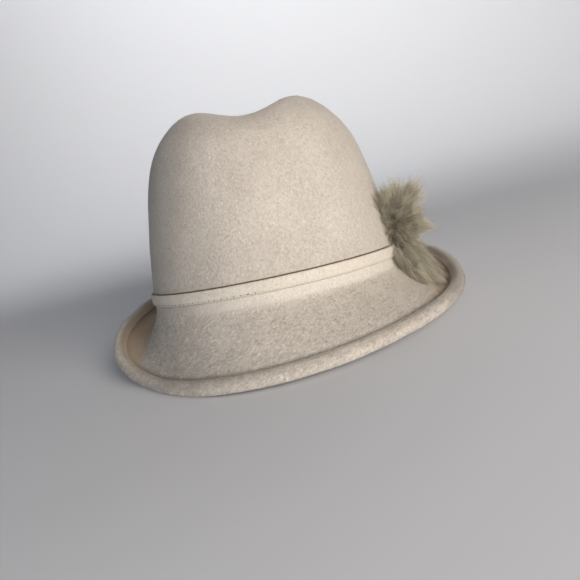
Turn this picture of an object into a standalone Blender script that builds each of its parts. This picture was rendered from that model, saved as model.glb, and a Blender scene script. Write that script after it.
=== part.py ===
"""Wool-felt hat with a centre-dent crown, a snapped brim with a turned-over edge, a felt band and a fur tuft.

Each piece is shaped in the hat's own frame: the origin is the middle of the seam between crown and
brim, Z is up, the front faces -Y and the fur tuft sits on the +X side. An empty then sets the whole
hat down on the floor in the attitude in which it comes to rest by itself. All sizes are metres.
"""
import math

import bmesh
import bpy
import numpy as np
from mathutils import Matrix, Vector

# Driving sizes
CROWN_WIDTH = 0.170
CROWN_LENGTH = 0.204
CROWN_HEIGHT = 0.120
BRIM_WIDTH = 0.052
HEM_WIDTH = 0.0093
FELT = 0.0022
BAND_HEIGHT = 0.0080
BAND_THICKNESS = 0.0016
DENT_DEPTH = 0.0217
DENT_WIDTH = 0.043
DENT_LENGTH = 0.149
DENT_TURN = -11.0
TUFT_REACH = 0.036
TUFT_ANGLE = 80.0
TUFT_HEIGHT = 0.0205
GAP = 0.0004
CONTACT_DEPTH = 0.0011

# Sizes that follow the driving ones
FOLD_RADIUS = 1.05 * FELT
FOLD_OUTSIDE = FOLD_RADIUS + FELT / 2
FLAP_SPACING = 1.35 * FELT
BREAK_LENGTH = 2.7 * FELT
DENT_FRONT_SHIFT = -0.05 * CROWN_LENGTH

COLUMNS = 72
CROWN_ROWS = 15
FOLD_ROWS = 4
SECTION_STEPS = 48
BRIM_SHARES = (0.05, 0.12, 0.25, 0.42, 0.60, 0.80, 1.0)
FLAP_SHARES = (0.35, 0.7, 1.0)
LOCK_SIDES = 8
LOCK_RINGS = 6
LOCK_FLAT_RATIO = 0.65

# Crown sections from the seam to the top, as shares of the crown's height, width and length
CROWN = np.array([
    # height, width, length
    (0.00, 1.000, 1.000),
    (0.20, 0.975, 0.982),
    (0.40, 0.923, 0.958),
    (0.60, 0.863, 0.920),
    (0.78, 0.770, 0.850),
    (0.91, 0.615, 0.720),
    (0.98, 0.455, 0.510),
    (1.00, 0.200, 0.245),
    (1.00, 0.000, 0.000),
])

# Brim every 45 degrees from the front towards +X: width and drop below the band as shares of the
# brim's width, then its slope in degrees beside the crown, half way out and at the edge; a bend
# above 1 keeps the slope of the start for longer and turns the brim up late
BRIM = np.array([
    # width, drop, start, middle, end, bend
    (1.010, 0.075, -61, -50, -51, 1.0),
    (1.020, 0.060, -58, -31, -37, 1.0),
    (0.995, 0.000, -60, -30, 13, 1.0),
    (1.010, 0.000, -46, -1, 49, 1.0),
    (1.020, 0.000, -46, 2, 52, 1.0),
    (1.029, 0.000, -48, 12, 42, 1.2),
    (1.096, 0.000, -66, 10, 68, 2.1),
    (1.003, 0.040, -74, -61, -22, 1.7),
])

# Tips of the tuft's locks: turn round the hat from the gathering point in degrees, height above
# the seam, distance out from the crown's wall and half-width, as shares of the tuft's reach
TUFT_LOCKS = (
    # turn, height, out, half_width
    (2, 1.52, 0.56, 0.24),
    (-13, 1.30, 0.26, 0.21),
    (-4, 1.34, 1.02, 0.22),
    (15, 1.16, 0.32, 0.21),
    (10, 1.05, 0.86, 0.21),
    (-3, 0.46, 1.12, 0.24),
    (13, 0.50, 0.84, 0.20),
    (-15, 0.80, 0.66, 0.21),
    (-19, 0.62, 0.28, 0.18),
    (20, 0.50, 0.34, 0.18),
    (-8, -0.34, 1.10, 0.21),
    (-16, -0.44, 0.74, 0.19),
    (9, -0.16, 0.84, 0.18),
)


def clear_scene():
    for item in list(bpy.data.objects):
        bpy.data.objects.remove(item, do_unlink=True)


def new_collection(name):
    collection = bpy.data.collections.new(name)
    bpy.context.scene.collection.children.link(collection)
    return collection


def material(name, color, roughness):
    made = bpy.data.materials.new(name)
    made.use_nodes = True
    shader = made.node_tree.nodes["Principled BSDF"]
    shader.inputs["Base Color"].default_value = (*color, 1.0)
    shader.inputs["Roughness"].default_value = roughness
    shader.inputs["Metallic"].default_value = 0.0
    made.diffuse_color = (*color, 1.0)
    return made


def table_value(table, position, closed=False):
    """A smooth curve through a table's rows, read at a fractional row number."""
    count = len(table)
    start = math.floor(position) if closed else min(math.floor(position), count - 2)
    t = position - start

    def row(number):
        if closed:
            return table[number % count]
        if number < 0:
            return 2 * table[0] - table[1]
        if number >= count:
            return 2 * table[-1] - table[-2]
        return table[number]

    before, first, second, after = (row(start + k) for k in (-1, 0, 1, 2))
    cubic = 3 * (first - second) + after - before
    square = 2 * before - 5 * first + 4 * second - after
    return (first + 0.5 * t * (second - before + t * (square + t * cubic))).tolist()


def oval_point(angle, width, length):
    """Point on a horizontal oval; angle 0 is the front and 90 degrees is +X."""
    return Vector((width / 2 * math.sin(angle), -length / 2 * math.cos(angle), 0.0))


def oval_normal(angle, width, length):
    return Vector((length * math.sin(angle), -width * math.cos(angle), 0.0)).normalized()


def dent_fall(x, y):
    """Share of the dent's depth at a place on the crown's top, falling off smoothly around the dent."""
    turn = math.radians(DENT_TURN)
    ahead = y - DENT_FRONT_SHIFT
    across = x * math.cos(turn) - ahead * math.sin(turn)
    along = x * math.sin(turn) + ahead * math.cos(turn)
    return math.exp(-(across / (DENT_WIDTH / 2)) ** 2 - (along / (DENT_LENGTH / 2)) ** 2)


def crown_point(angle, level):
    """Middle of the felt on the crown; level 0 is the seam and level 1 the top's centre."""
    height, width, length = table_value(CROWN, level * (len(CROWN) - 1))
    point = oval_point(angle, width * CROWN_WIDTH, length * CROWN_LENGTH)
    upper = min(max(2 * height - 1, 0.0), 1.0)
    point.z = height * CROWN_HEIGHT - DENT_DEPTH * upper ** 1.5 * dent_fall(point.x, point.y)
    return point


def crown_wall_point(angle, height, out):
    """Point beside the crown's wall, at a height above the seam and a distance out from the wall."""
    row = np.interp(height / CROWN_HEIGHT, CROWN[:-1, 0], range(len(CROWN) - 1))
    point = crown_point(angle, row / (len(CROWN) - 1)) + out * oval_normal(angle, CROWN_WIDTH, CROWN_LENGTH)
    point.z = height
    return point


def brim_section(angle):
    """Middle line of the brim in one direction, as (out, up, slope) from the seam to the fold."""
    position = math.degrees(angle) / 360 * len(BRIM)
    width, drop, start, middle, end, bend = table_value(BRIM, position, closed=True)
    run = width * BRIM_WIDTH - FOLD_OUTSIDE
    out, up, slope = 0.0, -drop * BRIM_WIDTH, math.radians(-90)
    section = [(out, up, slope)]
    for step in range(SECTION_STEPS):
        share = (step + 0.5) / SECTION_STEPS
        t = share ** bend
        degrees = start * (1 - t) * (1 - 2 * t) + middle * 4 * t * (1 - t) + end * t * (2 * t - 1)
        flare = min(share * run / BREAK_LENGTH, 1.0)
        slope = math.radians(-90 + (degrees + 90) * flare * flare * (3 - 2 * flare))
        out += math.cos(slope) * run / SECTION_STEPS
        up += math.sin(slope) * run / SECTION_STEPS
        section.append((out, up, slope))
    return section, run


def section_point(angle, section, share, lift):
    """Point on the brim at a share of its run, lifted from the middle line towards the upper side."""
    position = share * SECTION_STEPS
    first = min(int(position), SECTION_STEPS - 1)
    t = position - first
    out, up, slope = (a + (b - a) * t for a, b in zip(section[first], section[first + 1]))
    base = oval_point(angle, CROWN_WIDTH, CROWN_LENGTH)
    point = base + (out - math.sin(slope) * lift) * oval_normal(angle, CROWN_WIDTH, CROWN_LENGTH)
    point.z = up + math.cos(slope) * lift
    return point


def felt_column(angle):
    """Middle of the felt in one direction: down the crown, out along the brim and back over the hem."""
    crown = [crown_point(angle, 1 - k / CROWN_ROWS) for k in range(1, CROWN_ROWS + 1)]
    section, run = brim_section(angle)
    brim = [section_point(angle, section, share, 0.0) for share in BRIM_SHARES]
    tip_slope = section[-1][2]
    centre = section_point(angle, section, 1.0, FOLD_RADIUS)
    outward = oval_normal(angle, CROWN_WIDTH, CROWN_LENGTH)
    fold = []
    for k in range(1, FOLD_ROWS + 1):
        turn = tip_slope - math.pi / 2 + math.pi * k / FOLD_ROWS
        offset = FOLD_RADIUS * math.cos(turn) * outward + Vector((0, 0, FOLD_RADIUS * math.sin(turn)))
        fold.append(centre + offset)
    flap = []
    for share in FLAP_SHARES:
        back = share * (HEM_WIDTH - FOLD_OUTSIDE) / run
        lift = FLAP_SPACING + (2 * FOLD_RADIUS - FLAP_SPACING) * math.cos(math.pi / 2 * share)
        flap.append(section_point(angle, section, 1 - back, lift))
    return crown + brim + fold + flap


def column_angles():
    return [2 * math.pi * k / COLUMNS for k in range(COLUMNS)]


def ring_mesh(name, columns, top=None):
    """Open surface through columns of points round the hat, with an optional point closing its top."""
    mesh = bmesh.new()
    grid = [[mesh.verts.new(point) for point in column] for column in columns]
    for left, right in zip(grid, grid[1:] + grid[:1]):
        for k in range(len(left) - 1):
            mesh.faces.new((left[k], left[k + 1], right[k + 1], right[k]))
    if top is not None:
        centre = mesh.verts.new(top)
        for left, right in zip(grid, grid[1:] + grid[:1]):
            mesh.faces.new((centre, left[0], right[0]))
    bmesh.ops.recalc_face_normals(mesh, faces=mesh.faces)
    data = bpy.data.meshes.new(name)
    mesh.to_mesh(data)
    mesh.free()
    return data


def add_object(name, data, collection, finish):
    made = bpy.data.objects.new(name, data)
    data.materials.append(finish)
    collection.objects.link(made)
    return made


def thicken(item, thickness):
    wall = item.modifiers.new("wall", "SOLIDIFY")
    wall.thickness = thickness
    wall.offset = 0.0
    wall.use_even_offset = True
    wall.use_quality_normals = True


def applied(item):
    """Replace an object's mesh by its evaluated one, with its faces pointing out."""
    bpy.context.view_layer.update()
    evaluated = item.evaluated_get(bpy.context.evaluated_depsgraph_get())
    data = bpy.data.meshes.new_from_object(evaluated)
    item.modifiers.clear()
    mesh = bmesh.new()
    mesh.from_mesh(data)
    bmesh.ops.recalc_face_normals(mesh, faces=mesh.faces)
    mesh.to_mesh(data)
    mesh.free()
    data.name = item.name
    item.data = data
    return item


def make_felt_body(collection, finish):
    """Crown, brim and turned-over hem: one blocked sheet of felt."""
    columns = [felt_column(angle) for angle in column_angles()]
    data = ring_mesh("felt_body", columns, top=crown_point(0.0, 1.0))
    body = add_object("felt_body", data, collection, finish)
    thicken(body, FELT)
    return applied(body)


def make_hat_band(collection, finish):
    """Felt strip round the crown's base."""
    out = FELT / 2 + GAP + BAND_THICKNESS / 2
    heights = (GAP, (GAP + BAND_HEIGHT) / 2, BAND_HEIGHT)
    columns = [[crown_wall_point(angle, height, out) for height in heights] for angle in column_angles()]
    band = add_object("hat_band", ring_mesh("hat_band", columns), collection, finish)
    thicken(band, BAND_THICKNESS)
    return applied(band)


def lock_mesh(name, root, tip, half_width, outward):
    """One lock of fur: a flattened body, widest before its middle, that runs out to a blunt point."""
    mesh = bmesh.new()
    bmesh.ops.create_uvsphere(mesh, u_segments=LOCK_SIDES, v_segments=LOCK_RINGS, radius=1.0)
    axis = tip - root
    side = axis.cross(outward).normalized()
    flat = side.cross(axis).normalized() * LOCK_FLAT_RATIO
    for vertex in mesh.verts:
        along = (vertex.co.z + 1) / 2
        girth = half_width * (1.15 - 0.60 * along)
        vertex.co = root + along * axis + girth * (vertex.co.x * side + vertex.co.y * flat)
    data = bpy.data.meshes.new(name)
    mesh.to_mesh(data)
    mesh.free()
    return data


def make_fur_ornament(collection, cutters, finish):
    """Fur tuft: a head at the gathering point, with locks fused to it."""
    angle = math.radians(TUFT_ANGLE)
    outward = oval_normal(angle, CROWN_WIDTH, CROWN_LENGTH)
    half_out, half_wide = 0.17 * TUFT_REACH, 0.29 * TUFT_REACH
    root = crown_wall_point(angle, TUFT_HEIGHT, FELT / 2 + GAP + half_out)
    bpy.ops.mesh.primitive_ico_sphere_add(subdivisions=2, radius=1.0)
    head = bpy.context.object
    head.name = head.data.name = "fur_ornament"
    bpy.context.collection.objects.unlink(head)
    collection.objects.link(head)
    head.data.materials.append(finish)
    spread = Matrix.Diagonal((half_out, half_wide, half_wide, 1.0))
    facing = Vector((1, 0, 0)).rotation_difference(outward).to_matrix().to_4x4()
    head.data.transform(Matrix.Translation(root) @ facing @ spread)
    for number, (turn, height, out, half_width) in enumerate(TUFT_LOCKS):
        tip_angle = angle + math.radians(turn)
        tip = crown_wall_point(tip_angle, height * TUFT_REACH, out * TUFT_REACH)
        data = lock_mesh(f"lock_{number}", root, tip, half_width * TUFT_REACH, outward)
        add_object(f"lock_{number}", data, cutters, finish)
    fuse = head.modifiers.new("fuse", "BOOLEAN")
    fuse.operation = "UNION"
    fuse.operand_type = "COLLECTION"
    fuse.collection = cutters
    fuse.solver = "EXACT"
    return applied(head)


def volume_and_moment(data):
    """Volume of a closed mesh, and that volume times its centre."""
    data.calc_loop_triangles()
    points = np.empty(len(data.vertices) * 3)
    data.vertices.foreach_get("co", points)
    corners = np.empty(len(data.loop_triangles) * 3, dtype=np.int32)
    data.loop_triangles.foreach_get("vertices", corners)
    a, b, c = points.reshape(-1, 3)[corners.reshape(-1, 3)].transpose(1, 0, 2)
    volumes = np.einsum("ij,ij->i", a, np.cross(b, c)) / 6
    return volumes.sum(), ((a + b + c) / 4 * volumes[:, None]).sum(axis=0)


def resting_turn(pieces, body):
    """Rotation that lays the body's hull on the face nearest beneath the centre of mass."""
    parts = [volume_and_moment(piece.data) for piece in pieces]
    centre = Vector(sum(moment for _, moment in parts) / sum(volume for volume, _ in parts))
    hull = bmesh.new()
    for vertex in body.data.vertices:
        hull.verts.new(vertex.co)
    bmesh.ops.convex_hull(hull, input=hull.verts)
    bmesh.ops.recalc_face_normals(hull, faces=hull.faces)
    hull.normal_update()
    beneath = [face for face in hull.faces if face.normal.z < -0.8]
    nearest = min(beneath, key=lambda face: face.normal.dot(face.verts[0].co - centre))
    turn = nearest.normal.rotation_difference(Vector((0, 0, -1))).to_matrix().to_4x4()
    hull.free()
    return turn


def set_down(pieces, body):
    """Parent the pieces to an empty that stands the hat on the floor, and flatten the felt where it rests."""
    turn = resting_turn(pieces, body)
    points = [turn @ vertex.co for piece in pieces for vertex in piece.data.vertices]
    low = [min(point[k] for point in points) for k in range(3)]
    high = [max(point[k] for point in points) for k in range(3)]
    middle = Vector(((low[0] + high[0]) / 2, (low[1] + high[1]) / 2, low[2] + CONTACT_DEPTH))
    place = Matrix.Translation(-middle) @ turn
    rest = bpy.data.objects.new("hat_rest", None)
    rest.empty_display_size = CROWN_WIDTH / 2
    rest.matrix_world = place
    pieces[0].users_collection[0].objects.link(rest)
    back = place.inverted()
    for vertex in body.data.vertices:
        world = place @ vertex.co
        if world.z < 0.0:
            vertex.co = back @ Vector((world.x, world.y, 0.0))
    for piece in pieces:
        piece.parent = rest


def main():
    clear_scene()
    hat = new_collection("felt_hat")
    cutters = new_collection("cutters")
    felt = material("wool_felt", (0.62, 0.57, 0.51), 0.95)
    band_felt = material("band_felt", (0.70, 0.64, 0.55), 0.95)
    fur = material("rabbit_fur", (0.27, 0.24, 0.17), 0.85)
    felt_body = make_felt_body(hat, felt)
    hat_band = make_hat_band(hat, band_felt)
    fur_ornament = make_fur_ornament(hat, cutters, fur)
    for lock in cutters.objects:
        lock.hide_render = True
        lock.display_type = "WIRE"
    cutters.hide_render = True
    set_down([felt_body, hat_band, fur_ornament], felt_body)


main()
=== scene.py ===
# %% [markdown]
# A wool-felt hat with a fur tuft
#
# The hat is three things: one hood of wool felt, blocked wet over a wooden form so that crown and
# brim are a single sheet; a narrow strip of felt stitched round the crown's base; and a tuft of
# rabbit fur gathered at the wearer's left. The solids that carry these sizes are already packed, so
# this script loads them as a fixed frame and gives them what the eye needs: smooth curves, a napped
# felt surface, stitches and real strands of fur. All lengths are metres.

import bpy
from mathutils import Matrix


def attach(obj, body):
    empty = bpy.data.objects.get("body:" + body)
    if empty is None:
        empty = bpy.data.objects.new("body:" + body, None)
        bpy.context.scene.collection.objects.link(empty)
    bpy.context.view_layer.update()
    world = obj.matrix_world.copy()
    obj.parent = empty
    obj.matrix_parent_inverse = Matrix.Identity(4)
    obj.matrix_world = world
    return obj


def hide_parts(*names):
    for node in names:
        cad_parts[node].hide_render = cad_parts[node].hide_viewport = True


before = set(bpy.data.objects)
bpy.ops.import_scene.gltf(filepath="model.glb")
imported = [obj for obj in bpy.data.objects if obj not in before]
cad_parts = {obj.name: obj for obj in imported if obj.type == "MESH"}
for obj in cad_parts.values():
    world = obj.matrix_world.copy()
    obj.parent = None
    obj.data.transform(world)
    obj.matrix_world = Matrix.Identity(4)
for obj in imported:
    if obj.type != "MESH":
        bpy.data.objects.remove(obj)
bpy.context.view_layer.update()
print("solids:", sorted(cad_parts))

# %% [markdown]
# Tools used all through the lesson
#
# Colours are chosen on a screen and written as sRGB hex codes, while Blender's shaders reckon
# with linear light, so one function turns the first into the second. A finish is a network of nodes,
# and one function adds a node of any kind with its settings and its links. Every chance choice comes
# from one numbered source, so the hat comes out the same each time.

# %% Colours, nodes, materials and directions
import math

import bmesh
import bpy
import numpy as np
from mathutils import Matrix, Vector, noise
from mathutils.bvhtree import BVHTree

MM = 0.001
scene = bpy.context.scene
chance = np.random.default_rng(1947)


def linear(hex_code):
    """Turn an sRGB hex colour such as d3cabd into the linear RGBA that Blender's shaders use."""
    parts = [int(hex_code[i:i + 2], 16) / 255 for i in (0, 2, 4)]
    return [p / 12.92 if p <= 0.04045 else ((p + 0.055) / 1.055) ** 2.4 for p in parts] + [1.0]


def add_node(material, kind, settings=None, links=None):
    """Add one shader node, set its properties and sockets, and link other sockets into it."""
    tree = material.node_tree
    node = tree.nodes.new(kind)
    for name, value in (settings or {}).items():
        if isinstance(name, int) or name in node.inputs:
            node.inputs[name].default_value = value
        else:
            setattr(node, name, value)
    for name, source in (links or {}).items():
        tree.links.new(source, node.inputs[name])
    return node


def new_material(name):
    """An empty node material; each finish below builds its own nodes in it."""
    made = bpy.data.materials.new(name)
    made.use_nodes = True
    made.node_tree.nodes.clear()
    return made


def unit(vectors):
    """The same directions, each made one long."""
    return vectors / np.maximum(np.linalg.norm(vectors, axis=-1, keepdims=True), 1e-9)


print("a screen's middle grey in linear light:", round(linear("808080")[0], 3))

# %% [markdown]
# Where the hat stands
#
# The hat leans back on its brim, so its own upright axis isn't the room's. The band is a flat ring
# round the crown's base: the direction in which its points spread least is the hat's own "up", and
# its middle is the middle of the hat. Everything below that belongs to the hat is placed in this
# frame of its own: x to the wearer's left, y to the back, z up from the seam of crown and brim.

# %% Measure the hat's own frame on the band
BAND_MIDDLE_HEIGHT = 4.2 * MM

band_points = np.array([vertex.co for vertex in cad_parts["hat_band"].data.vertices])
band_centre = (band_points.min(axis=0) + band_points.max(axis=0)) / 2
_, _, directions = np.linalg.svd(band_points - band_points.mean(axis=0), full_matrices=False)
hat_up = Vector(directions[2] * np.sign(directions[2][2]))
hat_turn = Vector((0, 0, 1)).rotation_difference(hat_up).to_matrix()
HAT = Matrix.Translation(Vector(band_centre) - hat_up * BAND_MIDDLE_HEIGHT) @ hat_turn.to_4x4()
HAT_BACK = HAT.inverted()


def to_hat(points):
    """World points, one a row, in the hat's own frame."""
    matrix = np.array(HAT_BACK)
    return points @ matrix[:3, :3].T + matrix[:3, 3]


def to_world(points):
    """Points of the hat's own frame, one a row, in the room."""
    matrix = np.array(HAT)
    return points @ matrix[:3, :3].T + matrix[:3, 3]


print("the hat leans by", round(math.degrees(hat_up.angle(Vector((0, 0, 1)))), 2), "degrees")

# %% [markdown]
# The camera
#
# The photograph was taken from close by, a little to the wearer's left and slightly above the band,
# with the hat tipped in the frame. The camera's place is given in the hat's frame and then carried
# into the room with it. Its focal length is counted in the photograph's pixels, because that is how
# it was matched, and turned into millimetres for the size of Blender's sensor.

# %% Camera
PHOTO_WIDTH = 580
FOCAL_PIXELS = 630.0
CAMERA_AZIMUTH = 10.06
CAMERA_DISTANCE = 450 * MM
CAMERA_HEIGHT = 35.5 * MM
CAMERA_YAW = -0.77
CAMERA_PITCH = 5.97
CAMERA_ROLL = -11.86
NEAREST_SEEN = 0.01

azimuth = math.radians(CAMERA_AZIMUTH)
stand = Vector((math.sin(azimuth), -math.cos(azimuth), 0)) * CAMERA_DISTANCE
stand.z = CAMERA_HEIGHT
turn = Matrix.Rotation(math.radians(CAMERA_AZIMUTH + CAMERA_YAW), 4, "Z")
tip = Matrix.Rotation(math.radians(90 - CAMERA_PITCH), 4, "X")
roll = Matrix.Rotation(math.radians(CAMERA_ROLL), 4, "Z")
camera_data = bpy.data.cameras.new("camera")
camera_data.lens = camera_data.sensor_width * FOCAL_PIXELS / PHOTO_WIDTH
camera_data.clip_start = NEAREST_SEEN
camera = bpy.data.objects.new("camera", camera_data)
camera.matrix_world = HAT @ Matrix.Translation(stand) @ turn @ tip @ roll
scene.collection.objects.link(camera)
scene.camera = camera
print("camera", [round(c, 3) for c in camera.matrix_world.translation], "lens", round(camera_data.lens, 1))

# %% [markdown]
# The backdrop
#
# Small things are often photographed on a sheet that runs from the table up the wall in one long
# curve, so that no line crosses the picture behind them. The curve is drawn once as a profile and
# swept sideways. Matt paper bends light like most things made of plant fibre, with an IOR near 1.5,
# but its rough face scatters it: a roughness of 0.9 leaves no shine.

# %% A floor that curves up into a backdrop
FLOOR_FRONT = -1.6
FLOOR_SIDE = 2.2
BEND_START = 0.7
BEND_RADIUS = 0.9
BEND_STEPS = 24
WALL_HEIGHT = 1.6

profile = [(FLOOR_FRONT, 0.0)]
for step in range(BEND_STEPS + 1):
    angle = math.pi / 2 * step / BEND_STEPS
    profile.append((BEND_START + BEND_RADIUS * math.sin(angle), BEND_RADIUS * (1 - math.cos(angle))))
profile.append((BEND_START + BEND_RADIUS, WALL_HEIGHT))
sweep = bmesh.new()
edges = [[sweep.verts.new((x, y, z)) for y, z in profile] for x in (-FLOOR_SIDE, FLOOR_SIDE)]
for k in range(len(profile) - 1):
    sweep.faces.new((edges[0][k], edges[1][k], edges[1][k + 1], edges[0][k + 1]))
floor_mesh = bpy.data.meshes.new("studio_floor")
sweep.to_mesh(floor_mesh)
sweep.free()
floor_mesh.polygons.foreach_set("use_smooth", [True] * len(floor_mesh.polygons))
floor = bpy.data.objects.new("studio_floor", floor_mesh)
scene.collection.objects.link(floor)
paper = new_material("backdrop_paper")
paper_shader = add_node(
    paper, "ShaderNodeBsdfPrincipled", {"Base Color": linear("f3f4f7"), "Roughness": 0.9}
)
add_node(paper, "ShaderNodeOutputMaterial", links={"Surface": paper_shader.outputs["BSDF"]})
floor_mesh.materials.append(paper)
print("the backdrop has", len(floor_mesh.polygons), "faces")

# %% [markdown]
# The light
#
# The shadows in the photograph are soft, and its light comes from in front, most of it from the
# viewer's right: a window and the bright walls round it. Each of them is a square lamp, low over
# the floor. A lamp's size against its distance sets how soft a shadow's edge is, and its azimuth is
# counted from straight in front towards the wearer's left.

# %% Soft lamps, low in front and at the sides
LIGHT_DISTANCE = 1.3
LIGHT_AIM = Vector((0, 0, 0.07))
LIGHTS = (
    # name, azimuth, elevation, size, watts, colour
    ("window", 40, 12, 0.7, 13.6, "fff6ec"),
    ("open_room", 10, 12, 0.7, 3.6, "e3eeff"),
    ("side_wall", 70, 12, 0.7, 0.2, "f1f4ff"),
    ("far_wall", -80, 12, 0.7, 0.35, "e0e9ff"),
)

for name, light_azimuth, elevation, size, watts, colour in LIGHTS:
    lamp = bpy.data.lights.new(name, "AREA")
    lamp.energy = watts
    lamp.size = size
    lamp.color = linear(colour)[:3]
    a, e = math.radians(light_azimuth), math.radians(elevation)
    spot = Vector((math.sin(a) * math.cos(e), -math.cos(a) * math.cos(e), math.sin(e))) * LIGHT_DISTANCE
    facing_hat = spot.to_track_quat("Z", "Y").to_matrix().to_4x4()
    holder = bpy.data.objects.new(name, lamp)
    holder.matrix_world = Matrix.Translation(spot + LIGHT_AIM) @ facing_hat
    scene.collection.objects.link(holder)
print("lamps:", ", ".join(f"{row[0]} {row[4]} W" for row in LIGHTS))

# %% [markdown]
# The air and the pale wall
#
# The wall behind the hat is brighter than the light on the hat would make it. A lamp high up behind
# the hat faces the backdrop and leaves the hat alone. The world's own faint glow stands for what the
# rest of the room throws back, and keeps the shadows from going black.

# %% Air and a wash of light on the backdrop
AIR_STRENGTH = 0.07
WASH_PLACE = Vector((0.0, 0.25, 1.6))
WASH_WATTS = 25.0
WASH_SIZE = 1.2

air = bpy.data.worlds.new("studio_air")
air.use_nodes = True
background = air.node_tree.nodes["Background"]
background.inputs["Color"].default_value = linear("e9edf5")
background.inputs["Strength"].default_value = AIR_STRENGTH
scene.world = air
scene.view_settings.view_transform = "Standard"
wash = bpy.data.lights.new("backdrop_wash", "AREA")
wash.energy = WASH_WATTS
wash.size = WASH_SIZE
wash_holder = bpy.data.objects.new("backdrop_wash", wash)
wash_holder.matrix_world = Matrix.Translation(WASH_PLACE) @ Matrix.Rotation(math.radians(90), 4, "X")
scene.collection.objects.link(wash_holder)
print("the wash hangs", round(WASH_PLACE.z, 2), "m over the floor")

# %% [markdown]
# The felt hood
#
# Felt is pressed wool, blocked to a form, so every edge is soft and every curve flows. The packed
# solid has the right shape in flat facets. Its triangles are paired back into four-sided faces and
# subdivided, which rounds the facets into one flowing surface and moves it by very little.

# %% Smooth a solid's facets into a flowing sheet
SAME_POINT = 1e-6
PAIR_BEND = math.radians(60)
PAIR_SHAPE = math.radians(70)


def flowing_copy(node_name, piece_name, levels):
    """A copy of a solid with its triangles paired into quads and subdivided smooth."""
    mesh = bmesh.new()
    mesh.from_mesh(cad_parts[node_name].data)
    bmesh.ops.remove_doubles(mesh, verts=mesh.verts, dist=SAME_POINT)
    bmesh.ops.join_triangles(
        mesh, faces=mesh.faces, angle_face_threshold=PAIR_BEND, angle_shape_threshold=PAIR_SHAPE
    )
    bmesh.ops.recalc_face_normals(mesh, faces=mesh.faces)
    data = bpy.data.meshes.new(piece_name)
    mesh.to_mesh(data)
    mesh.free()
    piece = bpy.data.objects.new(piece_name, data)
    scene.collection.objects.link(piece)
    smooth = piece.modifiers.new("flow", "SUBSURF")
    smooth.levels = smooth.render_levels = levels
    bpy.context.view_layer.update()
    dense = bpy.data.meshes.new_from_object(piece.evaluated_get(bpy.context.evaluated_depsgraph_get()))
    piece.modifiers.clear()
    piece.data = dense
    dense.name = piece_name
    dense.polygons.foreach_set("use_smooth", [True] * len(dense.polygons))
    quads = sum(len(face.vertices) == 4 for face in data.polygons)
    print(piece_name, "from", quads, "quads of", len(data.polygons), "to", len(dense.polygons), "faces")
    return piece


felt_hood = flowing_copy("felt_body", "felt_hood", 2)

# %% [markdown]
# A slow wave in the felt
#
# Felt that was pressed by steam and hand is never quite even. A smooth noise moves its surface in
# and out by a third of a millimetre over a few centimetres, which breaks up the light as a real
# hood does. The lowest two millimetres stay as they are, because there the brim lies on the floor.

# %% Wave
WAVE_LENGTH = 24 * MM
WAVE_HEIGHT = 0.35 * MM
RESTING_RIM = 2 * MM

waved = 0
hood_normals = [vertex.normal.copy() for vertex in felt_hood.data.vertices]
for vertex, normal in zip(felt_hood.data.vertices, hood_normals):
    if vertex.co.z > RESTING_RIM:
        vertex.co += normal * noise.noise(vertex.co / WAVE_LENGTH) * WAVE_HEIGHT
        waved += 1
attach(felt_hood, "root")
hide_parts("felt_body")
print("the wave moved", waved, "of", len(hood_normals), "points")

# %% [markdown]
# How closed in each place is
#
# Light reaches some places less than others: the troughs between crown and brim, the groove
# of the hem. The finishes paint shade there, as much as this measure gives. To find these places,
# rays go out from each point of the felt in directions spread evenly over a sphere, and the share
# that meets felt again within a few centimetres says how sheltered the point is. Neighbours are
# averaged a few times, since few rays give a grainy answer.

# %% Shelter
SHELTER_REACH = 45 * MM
SHELTER_RAYS = 40
RAY_START = 0.4 * MM
LEAST_FACING = 0.12
SMOOTHING_ROUNDS = 3


def sphere_points(count):
    """Directions spread evenly over a sphere, on a spiral of golden angles."""
    rise = 1 - (2 * np.arange(count) + 1) / count
    around = np.arange(count) * math.pi * (3 - math.sqrt(5))
    flat = np.sqrt(1 - rise ** 2)
    return np.stack([flat * np.cos(around), flat * np.sin(around), rise], axis=1)


def neighbour_average(data, values, rounds):
    """Each vertex's value, drawn half way to the mean of its neighbours in each round."""
    ends = np.array([edge.vertices[:] for edge in data.edges])
    near = np.bincount(ends.ravel(), minlength=len(values))
    for _ in range(rounds):
        total = np.bincount(ends[:, 0], values[ends[:, 1]], len(values))
        total += np.bincount(ends[:, 1], values[ends[:, 0]], len(values))
        values = (values + total / near) / 2
    return values


def shelter(piece, reach, rays):
    """How much of the space over each vertex the piece itself closes in, 0 open to 1 closed."""
    tree = BVHTree.FromObject(piece, bpy.context.evaluated_depsgraph_get())
    rows = sphere_points(rays)
    spots = np.array([vertex.co for vertex in piece.data.vertices])
    normals = np.array([vertex.normal for vertex in piece.data.vertices])
    facing = normals @ rows.T
    closed = np.zeros(len(spots))
    aims = [Vector(row) for row in rows]
    for number, (spot, normal) in enumerate(zip(spots, normals)):
        start = Vector(spot + normal * RAY_START)
        seen = np.nonzero(facing[number] > LEAST_FACING)[0]
        hits = [facing[number, k] for k in seen if tree.ray_cast(start, aims[k], reach)[0] is not None]
        closed[number] = sum(hits) / facing[number, seen].sum()
    return neighbour_average(piece.data, closed, SMOOTHING_ROUNDS)


hood_places = to_hat(np.array([vertex.co for vertex in felt_hood.data.vertices]))
# How sheltered a point is sets how much shade is painted there.
hood_shelter = shelter(felt_hood, SHELTER_REACH, SHELTER_RAYS)
print("shelter", np.round(np.percentile(hood_shelter, [5, 25, 50, 75, 95]), 2))
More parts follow.
